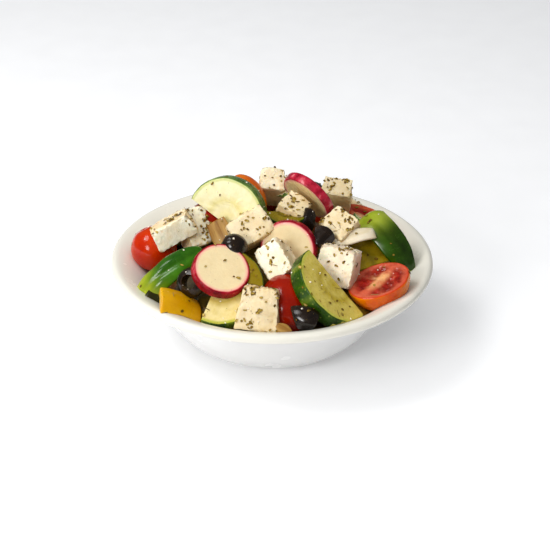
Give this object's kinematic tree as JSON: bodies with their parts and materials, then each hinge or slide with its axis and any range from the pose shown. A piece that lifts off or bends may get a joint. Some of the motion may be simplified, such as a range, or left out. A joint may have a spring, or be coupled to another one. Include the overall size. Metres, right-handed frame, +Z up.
{
  "type": "greek salad in a bowl",
  "caption": "Round white bowl with a flared rim, heaped with feta cubes, cucumber, radish, tomato, pepper, olives and onion under dried herbs.",
  "frame": {"origin": "middle of the surface that the bowl's foot stands on", "axes": "+Z up, -Y towards the front of the heap, where the largest cucumber slice and a herbed feta cube face"},
  "size_m": [0.1756, 0.1756, 0.09],
  "materials": {
    "bowl": "glossy white glaze",
    "feta": "matt, moist, crumbly white cheese",
    "cucumber": "moist flesh inside a glossy dark green skin",
    "radish": "moist white flesh inside a glossy crimson skin",
    "tomato": "glossy red skin, wet cut flesh",
    "green_pepper": "glossy green skin, pale flesh",
    "yellow_pepper": "glossy yellow skin",
    "olive": "glossy black skin",
    "onion": "translucent, pale",
    "mixed_salad": "mixed cut vegetables, moist"
  },
  "bodies": {
    "root": {"bowl": "bowl", "salad_bed": "mixed_salad", "feta_front": "feta", "feta_right": "feta", "feta_middle": "feta", "feta_left": "feta", "feta_crown": "feta", "feta_right_top": "feta", "feta_herbed": "feta", "feta_left_far": "feta", "feta_far_right": "feta", "feta_top": "feta", "feta_rear": "feta", "feta_rear_right": "feta", "feta_rear_left": "feta", "cucumber_front": "cucumber", "cucumber_top": "cucumber", "cucumber_right": "cucumber", "cucumber_low": "cucumber", "cucumber_inner": "cucumber", "cucumber_rear": "cucumber", "cucumber_rear_left": "cucumber", "cucumber_rear_right": "cucumber", "cucumber_side": "cucumber", "radish_front": "radish", "radish_middle": "radish", "radish_back": "radish", "radish_rear": "radish", "radish_rear_low": "radish", "tomato_right": "tomato", "tomato_top": "tomato", "tomato_left": "tomato", "tomato_far_right": "tomato", "tomato_middle": "tomato", "tomato_inner": "tomato", "tomato_rear": "tomato", "tomato_rear_right": "tomato", "pepper_left": "green_pepper", "pepper_right": "green_pepper", "pepper_rear_left": "green_pepper", "pepper_side": "green_pepper", "pepper_yellow": "yellow_pepper", "pepper_rear": "yellow_pepper", "olive_whole": "olive", "olive_ring": "olive", "olive_low": "olive", "olive_inner": "olive", "olive_behind": "olive", "olive_rear": "olive", "olive_rear_left": "olive", "onion_right": "onion", "onion_left": "onion", "onion_low": "onion"}
  },
  "joints": []
}
